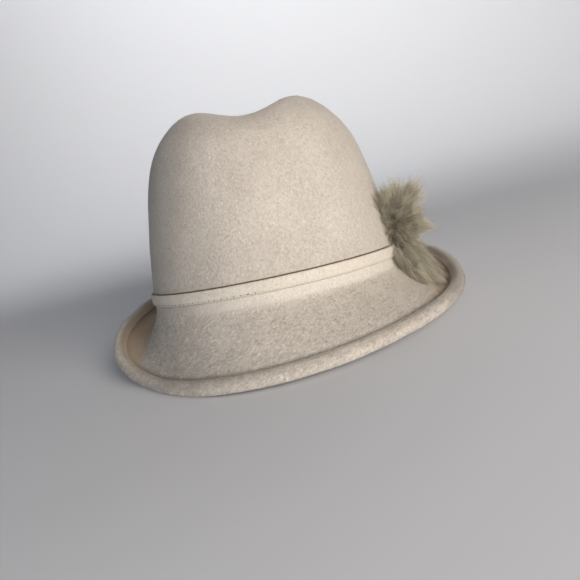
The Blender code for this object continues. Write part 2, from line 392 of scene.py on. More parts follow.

# %% [markdown]
# Where shade and light are painted on the felt
#
# Three more marks are light and shade painted as colour. The troughs at the brim's sides get a
# warm painted shade, the groove along the turned-over hem and the roll's right end a darker
# painted shade, and the strip just under the band a pale painted light towards the viewer's right.
# Each one follows the hat's own shape: how far a point is in from the brim's edge, how far to the
# side and how high. So each is a share from 0 to 1, blended at its limits. A brim isn't round, so
# its edge is measured in narrow slices all round the hat. Left and right are the viewer's here.

# %% Marks as a share at each point
EDGE_SLICES = 180
HEM_WIDTH = 7.3 * MM
LEFT_TROUGH = [85 * MM, 92 * MM]
RIGHT_TROUGH = [98 * MM, 107 * MM]
TROUGH_RUN = [-85 * MM, -50 * MM, 20 * MM, 70 * MM]
GROOVE = [HEM_WIDTH - 4.5 * MM, HEM_WIDTH - 1.5 * MM, HEM_WIDTH + MM, HEM_WIDTH + 3 * MM]
HEM_TIP = [104 * MM, 116 * MM]
TIP_SHARE = 0.8
HEM_SHADE_BACK_TO = 60 * MM
PAINTED_LIGHT_BOTTOM = -4.5 * MM
PAINTED_LIGHT_HEIGHTS = [-7 * MM, PAINTED_LIGHT_BOTTOM, 2 * MM, 6 * MM]
PAINTED_LIGHT_SIDE = [-55 * MM, -5 * MM]

hood_angles = np.arctan2(hood_places[:, 0], -hood_places[:, 1])
hood_radii = np.hypot(hood_places[:, 0], hood_places[:, 1])
slices = np.digitize(hood_angles, np.linspace(-math.pi, math.pi, EDGE_SLICES + 1)) - 1
edge_radii = np.zeros(EDGE_SLICES + 1)
np.maximum.at(edge_radii, slices, hood_radii)
from_edge = edge_radii[slices] - hood_radii

# Warm painted shade in the troughs at the brim's sides.
inside_hem = np.interp(from_edge, [HEM_WIDTH - 2 * MM, HEM_WIDTH + MM], [0, 1])
right_side = np.interp(hood_places[:, 0], RIGHT_TROUGH, [0, 1])
left_side = np.interp(-hood_places[:, 0], LEFT_TROUGH, [0, 1])
along_side = np.interp(hood_places[:, 1], TROUGH_RUN, [0, 1, 1, 0])
hood_trough_shade = inside_hem * along_side * np.maximum(left_side, right_side)

# Painted shade along the hem's groove and over the roll's right end.
in_groove = np.interp(from_edge, GROOVE, [0, 1, 1, 0])
at_tip = np.interp(hood_places[:, 0], HEM_TIP, [0, 1])
at_tip = at_tip * np.interp(from_edge, [0, HEM_WIDTH, 2 * HEM_WIDTH], [1, 1, 0])
hood_hem_shade = np.maximum(in_groove, TIP_SHARE * at_tip) * (hood_places[:, 1] < HEM_SHADE_BACK_TO)

# Painted light on the strip under the band, fading out towards the viewer's left.
hood_painted_light = np.interp(hood_places[:, 2], PAINTED_LIGHT_HEIGHTS, [0, 1, 1, 0])
hood_painted_light = hood_painted_light * np.interp(hood_places[:, 0], PAINTED_LIGHT_SIDE, [0, 1])
print("the brim's edge is", np.round(edge_radii[:-1].min(), 3), "to", np.round(edge_radii.max(), 3), "m out")

# %% [markdown]
# Numbers kept on the mesh
#
# A mesh can carry a named number for each of its points, and a material can read it by that name.
# This way the one finish can paint a dark shadow in the crease and pale light under the band
# without any picture wrapped round the hat. The height over the seam is kept too, because the
# crease is so narrow that the finish has to cut it out of the height itself, between the points.

# %% Keep the marks for the finish to read
MARKS_KEPT = {
    "height": hood_places[:, 2], "shelter": hood_shelter, "painted_light": hood_painted_light,
    "painted_trough_shade": hood_trough_shade, "hem_painted_shade": hood_hem_shade,
}

for attribute, values in MARKS_KEPT.items():
    layer = felt_hood.data.attributes.new(attribute, "FLOAT", "POINT")
    layer.data.foreach_set("value", np.asarray(values, dtype=np.float32))
    print(attribute, "runs from", round(float(values.min()), 3), "to", round(float(values.max()), 3))

# %% [markdown]
# The colours of painted light and shade
#
# Each mark is painted light or shade, a colour mixed into the felt's own by the share that the
# mesh carries. The crease's painted shadow alone covers the felt fully, and each of the others
# leaves some of it to see. The order matters: what is laid on last lies on top, and here that is
# the warm painted shade of the side troughs.

# %% The hood's painted light and shade laid over a felt's colour
# The crease's painted shadow lies between these heights; the colours after it are painted shade.
CREASE_BOTTOM, CREASE_TOP = 7.6 * MM, 8.3 * MM
CREASE_BLEND = 0.4 * MM
CREASE_SHADOW_BROWN, HOLLOW_SHADE_BROWN, TROUGH_SHADE_TAN = "66543f", "8b7458", "c6a985"
SHELTER_START, SHELTER_END = 0.20, 0.52
TROUGH_SHADE_SHARE = 0.7
# Painted light under the band, then painted shade in the hollows, in the hem's groove and in the side
# troughs.
PAINTED_MARKS = (
    # attribute, where it starts and ends, most of the colour, colour
    ("painted_light", 0.0, 1.0, 0.35, "f4ede2"),
    ("shelter", SHELTER_START, SHELTER_END, 0.65, HOLLOW_SHADE_BROWN),
    ("hem_painted_shade", 0.0, 1.0, 0.5, "867e76"),
    ("painted_trough_shade", 0.0, 1.0, TROUGH_SHADE_SHARE, TROUGH_SHADE_TAN),
)


def with_painted_light_and_shade(made, colour):
    """A felt's colour with a painted shadow in the crease over the band, then each painted light or shade of
    the table.
    """
    height = add_node(made, "ShaderNodeAttribute", {"attribute_name": "height"}).outputs["Fac"]
    below = add_node(
        made, "ShaderNodeMapRange",
        {"From Min": CREASE_TOP, "From Max": CREASE_TOP + CREASE_BLEND, "To Min": 1.0, "To Max": 0.0},
        {"Value": height},
    )
    above = add_node(made, "ShaderNodeMath", {"operation": "GREATER_THAN", 1: CREASE_BOTTOM}, {0: height})
    crease = add_node(
        made, "ShaderNodeMath", {"operation": "MULTIPLY"},
        {0: below.outputs["Result"], 1: above.outputs["Value"]},
    )
    # The crease is painted as a dark shadow.
    laid = add_node(
        made, "ShaderNodeMix", {"data_type": "RGBA", 7: linear(CREASE_SHADOW_BROWN)},
        {0: crease.outputs["Value"], 6: colour},
    )
    for attribute, start, end, most, hex_code in PAINTED_MARKS:
        mark = add_node(made, "ShaderNodeAttribute", {"attribute_name": attribute})
        share = add_node(
            made, "ShaderNodeMapRange", {"From Min": start, "From Max": end, "To Max": most},
            {"Value": mark.outputs["Fac"]},
        )
        laid = add_node(
            made, "ShaderNodeMix", {"data_type": "RGBA", 7: linear(hex_code)},
            {0: share.outputs["Result"], 6: laid.outputs[2]},
        )
    return laid.outputs[2]


print("marks:", ", ".join(["crease"] + [row[0] for row in PAINTED_MARKS]))

# %% [markdown]
# Wool felt as a finish
#
# Wool felt is a mat of fine crimped fibres with no weave. A wool fibre has an IOR of about 1.55, but
# the mat is so loose and rough that hardly a highlight is left: a roughness near 1 and a weak
# specular give that. Its raised nap catches a thin pale light at grazing angles, which is what the
# sheen is for. Fibres bunch over 1 to 2 mm, so the noise that mottles the colour has that size, and
# slower clouds lie over it. Here and there the dark end of a kemp hair is caught in the mat, a speck
# about a millimetre across.

# %% Wool felt
FIBRE_BUNCH = 1.5 * MM
FELT_CLOUD = 26 * MM
CLOUD_SHARE = 0.35
TONE_RANGE = (0.42, 0.92)
KEMP_SPACING = 24 * MM
KEMP_EDGE = (0.012, 0.028)
KEMP_SHARE = 0.7
FELT_SURFACE = {
    "Roughness": 0.96, "Specular IOR Level": 0.15,
    "Sheen Weight": 0.35, "Sheen Roughness": 0.55, "Sheen Tint": linear("fff8ee"),
}


def wool_felt(name, pale, dark, nap_depth, paints_light_and_shade):
    """A napped felt: mottled colour, rare dark kemps, soft sheen and a fibrous bump."""
    made = new_material(name)
    place = add_node(made, "ShaderNodeTexCoord").outputs["Object"]
    bunches = add_node(
        made, "ShaderNodeTexNoise", {"Scale": 1 / FIBRE_BUNCH, "Detail": 5.0, "Roughness": 0.62},
        {"Vector": place},
    )
    clouds = add_node(
        made, "ShaderNodeTexNoise", {"Scale": 1 / FELT_CLOUD, "Detail": 2.0}, {"Vector": place}
    )
    blend = add_node(
        made, "ShaderNodeMath", {"operation": "MULTIPLY_ADD", 1: CLOUD_SHARE},
        {0: clouds.outputs["Fac"], 2: bunches.outputs["Fac"]},
    )
    tone = add_node(
        made, "ShaderNodeMapRange", {"From Min": TONE_RANGE[0], "From Max": TONE_RANGE[1]},
        {"Value": blend.outputs["Value"]},
    )
    mottle = add_node(
        made, "ShaderNodeMix", {"data_type": "RGBA", 6: linear(dark), 7: linear(pale)},
        {0: tone.outputs["Result"]},
    )
    cells = add_node(
        made, "ShaderNodeTexVoronoi", {"Scale": 1 / KEMP_SPACING, "Randomness": 1.0}, {"Vector": place}
    )
    speck = add_node(
        made, "ShaderNodeMapRange",
        {"From Min": KEMP_EDGE[0], "From Max": KEMP_EDGE[1], "To Min": KEMP_SHARE, "To Max": 0.0},
        {"Value": cells.outputs["Distance"]},
    )
    kemps = add_node(
        made, "ShaderNodeMix", {"data_type": "RGBA", 7: linear("6d6355")},
        {0: speck.outputs["Result"], 6: mottle.outputs[2]},
    )
    # Only the hood gets the painted light and shade over its colour.
    finish = with_painted_light_and_shade(made, kemps.outputs[2]) if paints_light_and_shade else kemps.outputs[2]
    bump = add_node(
        made, "ShaderNodeBump", {"Strength": 0.8, "Distance": nap_depth}, {"Height": bunches.outputs["Fac"]}
    )
    shader = add_node(
        made, "ShaderNodeBsdfPrincipled", FELT_SURFACE,
        {"Base Color": finish, "Normal": bump.outputs["Normal"]},
    )
    add_node(made, "ShaderNodeOutputMaterial", links={"Surface": shader.outputs["BSDF"]})
    return made


hood_felt = wool_felt("wool_felt_greige", "ddd4c7", "b8aea2", 0.7 * MM, paints_light_and_shade=True)
felt_hood.data.materials.clear()
felt_hood.data.materials.append(hood_felt)
print("the hood's finish has", len(hood_felt.node_tree.nodes), "nodes")

# %% [markdown]
# The nap
#
# A bump alone leaves a clean, hard outline. Real felt has a bloom of loose fibres that lie over in
# the direction in which it was brushed. They are strands like the fur's, only shorter, so one
# helper makes both: it takes a path of points for each strand and lays a thin ribbon along it, with
# the place along the strand and a tone of its own kept as attributes for the material to read. The
# ribbons are a few times as wide as real fibres, so that fewer of them give the same bloom.

# %% Strands as thin ribbons
def strand_piece(name, paths, widths, tones, facing, trough_shade):
    """One object from many strands: paths is strands x points x 3, widths strands x points."""
    count, points, _ = paths.shape
    side = unit(np.cross(np.gradient(paths, axis=1), facing[:, None, :]))
    left = paths - side * widths[:, :, None] / 2
    right = paths + side * widths[:, :, None] / 2
    corners = np.stack([left, right], axis=2).reshape(-1, 3)
    first = (np.arange(count)[:, None] * points + np.arange(points - 1)[None, :]).reshape(-1) * 2
    quads = np.stack([first, first + 1, first + 3, first + 2], axis=1)
    data = bpy.data.meshes.new(name)
    data.vertices.add(len(corners))
    data.vertices.foreach_set("co", corners.astype(np.float32).ravel())
    data.loops.add(quads.size)
    data.loops.foreach_set("vertex_index", quads.astype(np.int32).ravel())
    data.polygons.add(len(quads))
    data.polygons.foreach_set("loop_start", np.arange(0, quads.size, 4, dtype=np.int32))
    data.update(calc_edges=True)
    steps = np.repeat(np.tile(np.linspace(0, 1, points), count), 2)
    # The last attribute carries the side troughs' warm painted shade to the strands.
    for attribute, values in (
        ("along", steps), ("tone", np.repeat(tones, points * 2)), ("trough_shade", np.repeat(trough_shade, points * 2)),
    ):
        layer = data.attributes.new(attribute, "FLOAT", "POINT")
        layer.data.foreach_set("value", values.astype(np.float32))
    piece = bpy.data.objects.new(name, data)
    scene.collection.objects.link(piece)
    print(name, count, "strands,", 2 * len(quads), "triangles")
    return piece


# %% [markdown]
# Roots for the nap
#
# Fibres stand all over the outer side of the felt, as many on a square centimetre here as there. So
# a face is picked with a chance as large as its area, and a point in it with two random numbers.
# The hollow of the crown is out of sight, and a nap there would only cost time, so faces that look
# into it get none. The crown is longer than it is wide, which the direction outwards allows for.

# %% Scatter roots over a mesh
OVAL = np.array([1.0, 0.8, 0.0])


def scatter(piece, count, wanted):
    """Random points on a mesh's faces by area, with normals and corners; wanted picks the faces."""
    data = piece.data
    data.calc_loop_triangles()
    places = np.empty(len(data.vertices) * 3)
    data.vertices.foreach_get("co", places)
    corners = np.empty(len(data.loop_triangles) * 3, dtype=np.int32)
    data.loop_triangles.foreach_get("vertices", corners)
    a, b, c = places.reshape(-1, 3)[corners.reshape(-1, 3)].transpose(1, 0, 2)
    cross = np.cross(b - a, c - a)
    area = np.linalg.norm(cross, axis=1) / 2
    normal = unit(cross)
    weight = area * wanted((a + b + c) / 3, normal)
    pick = chance.choice(len(area), size=count, p=weight / weight.sum())
    u, v = chance.random(count), chance.random(count)
    flip = u + v > 1
    u[flip], v[flip] = 1 - u[flip], 1 - v[flip]
    spots = a[pick] + (b - a)[pick] * u[:, None] + (c - a)[pick] * v[:, None]
    return spots, normal[pick], corners.reshape(-1, 3)[pick]


def outer_face(places, normals):
    """1 where a face looks away from the hollow of the crown or up from the brim, else 0."""
    hat_normals = normals @ np.array(hat_turn)
    outward = unit(to_hat(places) * OVAL)
    facing = (hat_normals * outward).sum(axis=1) + hat_normals[:, 2]
    return (facing > 0).astype(float)


# %% [markdown]
# Crown nap and brim nap
#
# The crown's nap lies almost straight down, while the brim's slants outwards and round, as a brim
# is brushed. So the nap is two pieces that blend into one another a little below the band. Where
# the band covers the felt there is none.

# %% Where each nap grows
BAND_BOTTOM = 0.4 * MM
BAND_COVERS_TO = CREASE_TOP + 0.9 * MM
BORDER = 3 * MM
BLEND = [PAINTED_LIGHT_BOTTOM - BORDER, PAINTED_LIGHT_BOTTOM + BORDER]


def on_crown(places, normals):
    """Share of the crown's nap on each face: none on the brim or behind the band."""
    height = to_hat(places)[:, 2]
    in_view = (height < BAND_BOTTOM) | (height > BAND_COVERS_TO)
    return outer_face(places, normals) * in_view * np.interp(height, BLEND, [0, 1])


def on_brim(places, normals):
    """Share of the brim's nap on each face: what the crown's nap leaves below the band."""
    height = to_hat(places)[:, 2]
    return outer_face(places, normals) * np.interp(height, BLEND, [1, 0])


print("the naps blend from", [round(limit / MM, 1) for limit in BLEND], "mm")

# %% [markdown]
# Wisps of nap
#
# Loose wool clings together, so the nap is made of wisps of three fibres that draw closer towards
# their tips. Each lies almost flat, since felt is brushed and steamed. A slow noise gives whole
# bunches a tone of their own, a random share makes single wisps differ, and the painted shade and
# painted light darken or brighten them like the felt below.

# %% Wisps
NAP_LENGTH = 2.2 * MM
NAP_REACH = (0.45, 1.2)
NAP_WIDTH = 0.11 * MM
NAP_TIP = 0.4
NAP_SINK = 0.05 * MM
WISPS = 31000
WISP_STRANDS = 3
WISP_WIDTH = 0.13 * MM
WISP_JITTER = 0.05 * MM
WISP_CLOSING = 0.6
LIFT_SPREAD = 0.10
BUNCH_SIZE = 2.4 * MM
BUNCH_SHARE, SINGLE_SHARE = 0.55, 0.20
DARKEST = -0.8
HEM_SHADE_TONE, HEM_SHADE_PULL = -0.35, 0.9
FLOOR_GAP = 0.05 * MM


def nap_tones(roots, corners, contrast):
    """A tone for each wisp, raised by painted light under the band and lowered by painted shade in the
    hollows and the hem's groove.
    """
    bunch = np.array([noise.noise(Vector(root) / BUNCH_SIZE) for root in roots])
    tone = 0.5 + contrast * (BUNCH_SHARE * bunch + chance.normal(0, SINGLE_SHARE, WISPS))
    # Painted shade in the hollows, painted light under the band and painted shade in the hem's groove.
    closed = np.interp(hood_shelter[corners].mean(axis=1), [SHELTER_START, SHELTER_END], [0, 1])
    tone = np.maximum(tone, hood_painted_light[corners].mean(axis=1))
    tone = tone * (1 - closed) + DARKEST * closed
    hem_shade = hood_hem_shade[corners].mean(axis=1)
    return np.clip(tone - hem_shade * (tone - HEM_SHADE_TONE) * HEM_SHADE_PULL, -1, 1)


def nap_piece(name, wanted, swing_degrees, stray, rise, contrast):
    """Wisps of fibre combed one way, each lying close to the felt; swing 90 is straight down."""
    roots, normals, corners = scatter(felt_hood, WISPS, wanted)
    upright = np.array(hat_turn)[:, 2]
    around = unit(np.cross(upright, normals))
    down = unit(np.cross(around, normals))
    swing = np.radians(swing_degrees) + chance.normal(0, stray, WISPS)
    lie = around * np.cos(swing)[:, None] + down * np.sin(swing)[:, None]
    across = np.cross(lie, normals)
    lift = np.abs(chance.normal(rise, LIFT_SPREAD, WISPS))
    length = NAP_LENGTH * chance.uniform(*NAP_REACH, WISPS)
    tone = nap_tones(roots, corners, contrast)
    paths, widths = [], []
    for number in range(WISP_STRANDS):
        offset = (number - 1) * WISP_WIDTH + chance.normal(0, WISP_JITTER, WISPS)
        start = roots + across * offset[:, None] - normals * NAP_SINK
        reach = (lie + normals * lift[:, None]) * (length * chance.uniform(0.8, 1.1, WISPS))[:, None]
        strand = np.stack([start, start + reach - across * offset[:, None] * WISP_CLOSING], axis=1)
        strand[:, :, 2] = np.maximum(strand[:, :, 2], FLOOR_GAP)
        paths.append(strand)
        widths.append(np.stack([np.full(WISPS, NAP_WIDTH), np.full(WISPS, NAP_WIDTH * NAP_TIP)], axis=1))
    return strand_piece(
        name, np.concatenate(paths), np.concatenate(widths), np.tile(tone, WISP_STRANDS),
        np.tile(normals, (WISP_STRANDS, 1)), np.tile(hood_trough_shade[corners].mean(axis=1), WISP_STRANDS),
    )


# %% [markdown]
# Loose wool as a finish
#
# A single fibre of the nap is the same wool as the felt, a little paler because light comes through
# it from all sides. Its colour runs with the wisp's tone. A tone below 0 means a wisp in a hollow or
# in the hem's groove, which takes some of the hollow's brown as painted shade, and the troughs' tan
# is laid over last as a warm painted shade. The roughness of 0.9 is that of a scaly fibre with no
# glint.

# %% Nap finish
NAP_SURFACE = {"Roughness": 0.9, "Specular IOR Level": 0.1}

wool_nap = new_material("wool_nap")
nap_tone = add_node(wool_nap, "ShaderNodeAttribute", {"attribute_name": "tone"})
nap_plain = add_node(
    wool_nap, "ShaderNodeMix", {"data_type": "RGBA", 6: linear("ada499"), 7: linear("f5eee4")},
    {0: nap_tone.outputs["Fac"]},
)
# Painted shade: wisps with a tone below 0 take the hollow's brown.
nap_hollow_shade = add_node(
    wool_nap, "ShaderNodeMapRange", {"From Min": 0.0, "From Max": DARKEST, "To Max": 0.8},
    {"Value": nap_tone.outputs["Fac"]},
)
nap_shaded = add_node(
    wool_nap, "ShaderNodeMix", {"data_type": "RGBA", 7: linear(HOLLOW_SHADE_BROWN)},
    {0: nap_hollow_shade.outputs["Result"], 6: nap_plain.outputs[2]},
)
# Warm painted shade in the side troughs.
nap_place = add_node(wool_nap, "ShaderNodeAttribute", {"attribute_name": "trough_shade"})
nap_trough_shade = add_node(
    wool_nap, "ShaderNodeMapRange", {"To Max": TROUGH_SHADE_SHARE}, {"Value": nap_place.outputs["Fac"]}
)
nap_colour = add_node(
    wool_nap, "ShaderNodeMix", {"data_type": "RGBA", 7: linear(TROUGH_SHADE_TAN)},
    {0: nap_trough_shade.outputs["Result"], 6: nap_shaded.outputs[2]},
)
nap_shader = add_node(
    wool_nap, "ShaderNodeBsdfPrincipled", NAP_SURFACE, {"Base Color": nap_colour.outputs[2]}
)
add_node(wool_nap, "ShaderNodeOutputMaterial", links={"Surface": nap_shader.outputs["BSDF"]})
print("the nap's finish has", len(wool_nap.node_tree.nodes), "nodes")

# %% [markdown]
# Both naps laid
#
# In the photograph the brim looks coarser than the crown. So its nap stands up more and is more
# speckled, while the crown's strays more from its direction and looks even. The swing is counted in
# degrees from the way round the hat, so 90 is straight down.

# %% Lay both naps
NAPS = (
    # name, where, swing, stray, rise, contrast
    ("crown_nap", on_crown, 80, 0.42, 0.10, 1.2),
    ("brim_nap", on_brim, 135, 0.26, 0.18, 1.9),
)

for name, wanted, swing_degrees, stray, rise, contrast in NAPS:
    nap = nap_piece(name, wanted, swing_degrees, stray, rise, contrast)
    nap.data.materials.append(wool_nap)
    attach(nap, "root")

# %% [markdown]
# The band
#
# The band is a strip of the same felt, cut with a knife, so it is smoother, a little creamier and
# has crisp edges. It is sewn down only along its lower edge, and its upper edge stands out a little,
# which opens a real gap above it; the dark crease there is also painted on the hood as shadow.
# The flare grows with the third power of the height, so that the lower half stays flat on the crown.

# %% Band
BAND_TOP = 8.0 * MM
BAND_FLARE = 0.8 * MM

felt_band = flowing_copy("hat_band", "felt_band", 1)
for vertex in felt_band.data.vertices:
    place = HAT_BACK @ vertex.co
    outward = Vector((place.x, place.y, 0)).normalized()
    share = min(max(place.z / BAND_TOP, 0), 1)
    vertex.co += hat_turn @ outward * BAND_FLARE * share ** 3
band_felt = wool_felt("band_felt_cream", "ebe3d5", "cdc4b5", 0.5 * MM, paints_light_and_shade=False)
felt_band.data.materials.clear()
felt_band.data.materials.append(band_felt)
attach(felt_band, "root")
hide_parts("hat_band")

# %% [markdown]
# The stitches
#
# The band is held by a running stitch of strong thread. Each stitch is about 4 mm from the next: a
# float of thread lies on the felt between two needle holes, and the shade in each hole is painted as
# a dark dot. In the photograph they are plain to see in front and on the wearer's right, so the
# thread is pulled hard there and lies looser elsewhere. Both are squashed balls, set into the band's
# face where a ray from outside meets it.

# %% Stitches round the band's lower edge
STITCH_LENGTH = 4 * MM
STITCH_HEIGHT = 1.7 * MM
FLOAT_SHARE = 0.33
THREAD_RADIUS = 0.22 * MM
THREAD_SINK = 0.04 * MM
HOLE_RADIUS = 0.42 * MM
HOLE_DEPTH = 0.06 * MM
HOLE_NARROWING = 0.8
LARGE_DOTS_FROM, LARGE_DOTS_TO = math.radians(-62), math.radians(4)
SMALL_DOT_SHARE = 0.4
OUTSIDE = 200 * MM


def band_face(angle, height):
    """Place and outward direction on the band's outer face, in the room."""
    outward = Vector((math.sin(angle), -math.cos(angle), 0))
    start = HAT @ (Vector((0, 0, height)) + outward * OUTSIDE)
    place, normal, _, _ = band_tree.ray_cast(start, -(hat_turn @ outward))
    return place, normal


band_tree = BVHTree.FromObject(felt_band, bpy.context.evaluated_depsgraph_get())
stitches, holes = bmesh.new(), bmesh.new()
angle, stitch_count = 0.0, 0
while angle < 2 * math.pi:
    place, normal = band_face(angle, STITCH_HEIGHT)
    step = STITCH_LENGTH / (HAT_BACK @ place).to_2d().length
    ahead, _ = band_face(angle + step, STITCH_HEIGHT)
    run = (ahead - place).normalized()
    axes = Matrix((run, normal.cross(run), normal)).transposed().to_4x4()
    middle = Matrix.Translation(place.lerp(ahead, 0.5) - normal * THREAD_SINK)
    float_size = Matrix.Diagonal((STITCH_LENGTH * FLOAT_SHARE, THREAD_RADIUS, THREAD_RADIUS, 1))
    bmesh.ops.create_uvsphere(
        stitches, u_segments=8, v_segments=6, radius=1, matrix=middle @ axes @ float_size
    )
    # The needle holes are dots of painted shade, larger in front and on the wearer's right.
    dot_share = 1.0 if LARGE_DOTS_FROM < (angle + math.pi) % (2 * math.pi) - math.pi < LARGE_DOTS_TO else SMALL_DOT_SHARE
    hole_size = Matrix.Diagonal((HOLE_RADIUS * dot_share, HOLE_RADIUS * dot_share * HOLE_NARROWING, HOLE_DEPTH, 1))
    bmesh.ops.create_uvsphere(
        holes, u_segments=10, v_segments=5, radius=1, matrix=Matrix.Translation(place) @ axes @ hole_size
    )
    angle += step
    stitch_count += 1
print("stitches", stitch_count)

# %% [markdown]
# Thread and needle holes as finishes, the holes in painted shade
#
# The thread is taken to be cotton, with an IOR near 1.55 and a roughness of about 0.8 once its
# plies have broken up the light. A noise as fine as a ply gives it two tones and a slight relief. The
# holes are painted shade: the shade in a hole in felt isn't black, since its torn fibres catch some
# light, so it is made the same way in dark browns.

# %% Thread and holes
PLY_WIDTH = 0.25 * MM
PLY_RELIEF = 0.05 * MM

# The needle holes' dark browns are painted shade.
for name, mesh, pale, dark in (
    ("stitch_thread", stitches, "e6dece", "bdb29f"), ("needle_hole_shadows", holes, "70604c", "443829"),
):
    data = bpy.data.meshes.new(name)
    mesh.to_mesh(data)
    mesh.free()
    made = new_material(name)
    place = add_node(made, "ShaderNodeTexCoord").outputs["Object"]
    ply = add_node(made, "ShaderNodeTexNoise", {"Scale": 1 / PLY_WIDTH, "Detail": 2.0}, {"Vector": place})
    twist = add_node(
        made, "ShaderNodeMix", {"data_type": "RGBA", 6: linear(dark), 7: linear(pale)},
        {0: ply.outputs["Fac"]},
    )
    relief = add_node(
        made, "ShaderNodeBump", {"Strength": 0.5, "Distance": PLY_RELIEF}, {"Height": ply.outputs["Fac"]}
    )
    shader = add_node(
        made, "ShaderNodeBsdfPrincipled", {"Roughness": 0.8},
        {"Base Color": twist.outputs[2], "Normal": relief.outputs["Normal"]},
    )
    add_node(made, "ShaderNodeOutputMaterial", links={"Surface": shader.outputs["BSDF"]})
    data.materials.append(made)
    piece = bpy.data.objects.new(name, data)
    scene.collection.objects.link(piece)
    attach(piece, "root")
    print(name, "has", len(data.polygons), "faces")

# %% [markdown]
# The fur tuft
#
# The tuft is a few strips of rabbit fur caught together at one point on the crown's side, with the
# locks falling away from it all round: a short crest up, one lock out to the side and a long sweep
# down onto the brim. The table gives the tip of each lock as the camera sees it, in millimetres to
# the right, up and towards the camera from the gathering point, and its share of the hair.

# %% Where the fur is gathered and how its locks lie
CROWN_WIDTH, CROWN_LENGTH = 170 * MM, 204 * MM
CROWN_TAPER = 0.98
TUFT_ANGLE = math.radians(80.0)
TUFT_HEIGHT = 20.5 * MM
TUFT_STAND_OFF = 1 * MM
LOCKS = (
    # right, up, near, share
    (-12, 22, 20, 0.9),
    (-7, 27, 14, 1.1),
    (0, 29, 9, 1.2),
    (7, 30, 8, 1.2),
    (15, 31, 5, 1.1),
    (19, 29, 3, 0.8),
    (13, 21, 9, 1.0),
    (11, 24, -12, 0.9),
    (2, 23, -10, 0.9),
    (15, 13, 9, 1.0),
    (19, 7, 7, 1.1),
    (25, 2, 3, 1.2),
    (26, -3, 0, 1.2),
    (20, -10, 2, 1.2),
    (17, 2, 15, 1.0),
    (13, 11, 14, 1.0),
    (14, 10, -13, 0.9),
    (15, -18, 6, 1.2),
    (18, -26, 7, 1.2),
    (23, -33, 8, 1.2),
    (31, -38, 8, 1.2),
    (36, -41, 10, 1.2),
    (33, -44, 14, 1.3),
    (26, -46, 19, 1.3),
    (19, -44, 22, 1.2),
    (12, -38, 22, 1.1),
    (6, -31, 20, 1.0),
    (0, -23, 18, 0.9),
    (-4, -11, 15, 0.7),
    (-9, 3, 18, 0.8),
    (-13, 11, 20, 0.9),
    (-14, 17, 20, 0.9),
    (6, 5, 20, 0.8),
    (8, -10, 21, 0.9),
    (15, -19, 20, 1.2),
    (21, -30, 18, 1.3),
    (27, -36, 14, 1.3),
    (3, 15, 19, 0.9),
    (8, 20, 14, 0.9),
    (-4, 7, 17, 0.7),
    (12, -10, -12, 0.8),
    (14, -20, -8, 0.8),
)

across_crown, along_crown = math.sin(TUFT_ANGLE), -math.cos(TUFT_ANGLE)
out_in_hat = unit(np.array([CROWN_LENGTH * across_crown, CROWN_WIDTH * along_crown, 0.0]))
at_base = np.array([CROWN_WIDTH / 2 * across_crown, CROWN_LENGTH / 2 * along_crown, TUFT_HEIGHT])
on_crown_side = at_base * np.array([CROWN_TAPER, CROWN_TAPER, 1.0])
gather = to_world((on_crown_side + out_in_hat * TUFT_STAND_OFF)[None])[0]
tuft_out = np.array(hat_turn) @ out_in_hat
seen_right, seen_up, seen_near = np.array(camera.matrix_world.to_3x3()).T
lock_tips = np.array(LOCKS, float)[:, :3] * MM @ np.stack([seen_right, seen_up, seen_near])
lock_share = np.array(LOCKS)[:, 3] / np.array(LOCKS)[:, 3].sum()
print("the fur is gathered at", np.round(gather, 3), "and has", len(LOCKS), "locks")

# %% [markdown]
# Locks and wisps
#
# A lock isn't straight: its hair springs away from the skin and its weight pulls it down, so a lock
# is a curve with one bend, standing off the hat, and sagging more the more it hangs. Along a lock
# the hair grows in wisps that overlap like shingles. Each wisp starts somewhere along the lock,
# ends further out and a little to one side, and has a tone of its own.

# %% Wisps along the locks
LOCK_BULGE = 0.13
SAG_IN, SAG_DOWN = 0.14, 0.12
WISPS_OF_FUR = 1500
WISP_STARTS = (0.02, 0.66)
WISP_LENGTHS = (0.24, 0.40)
LOCK_END = 0.96
PELT_SPREAD = 3.2 * MM
WIDEST_SIDE = 1.5
HAIR_SPLAY = 3.6 * MM
TIP_SCATTER = 1.6 * MM


def along_lock(tips, share):
    """Point on each lock's own curve, bulging away from the hat and sagging on the way down."""
    span = np.linalg.norm(tips, axis=1)[:, None]
    sag = np.clip(-tips @ seen_up / span[:, 0], 0, 1)[:, None]
    bend = tips * 0.5 + (tuft_out * LOCK_BULGE - (seen_right * SAG_IN + seen_up * SAG_DOWN) * sag) * span
    t = share[:, None]
    return bend * 2 * t * (1 - t) + tips * t ** 2


wisp_lock = chance.choice(len(LOCKS), size=WISPS_OF_FUR, p=lock_share)
wisp_start = chance.uniform(*WISP_STARTS, WISPS_OF_FUR)
wisp_end = np.minimum(wisp_start + chance.uniform(*WISP_LENGTHS, WISPS_OF_FUR), LOCK_END)
wisp_side = np.clip(chance.normal(0, 1, (WISPS_OF_FUR, 3)), -WIDEST_SIDE, WIDEST_SIDE) * PELT_SPREAD
wisp_roots = along_lock(lock_tips[wisp_lock], wisp_start) + wisp_side * (0.35 + 0.5 * wisp_start[:, None])
wisp_tips = along_lock(lock_tips[wisp_lock], wisp_end) + wisp_side * 0.9
wisp_tips += tuft_out * HAIR_SPLAY * chance.uniform(0, 1, (WISPS_OF_FUR, 1))
wisp_tips += chance.normal(0, TIP_SCATTER, wisp_tips.shape)
wisp_tone = chance.uniform(0.0, 0.7, WISPS_OF_FUR)
wisp_spans = np.linalg.norm(wisp_tips - wisp_roots, axis=1)
print("wisps of fur", len(wisp_spans), "with a mean length of", round(wisp_spans.mean() / MM, 1), "mm")

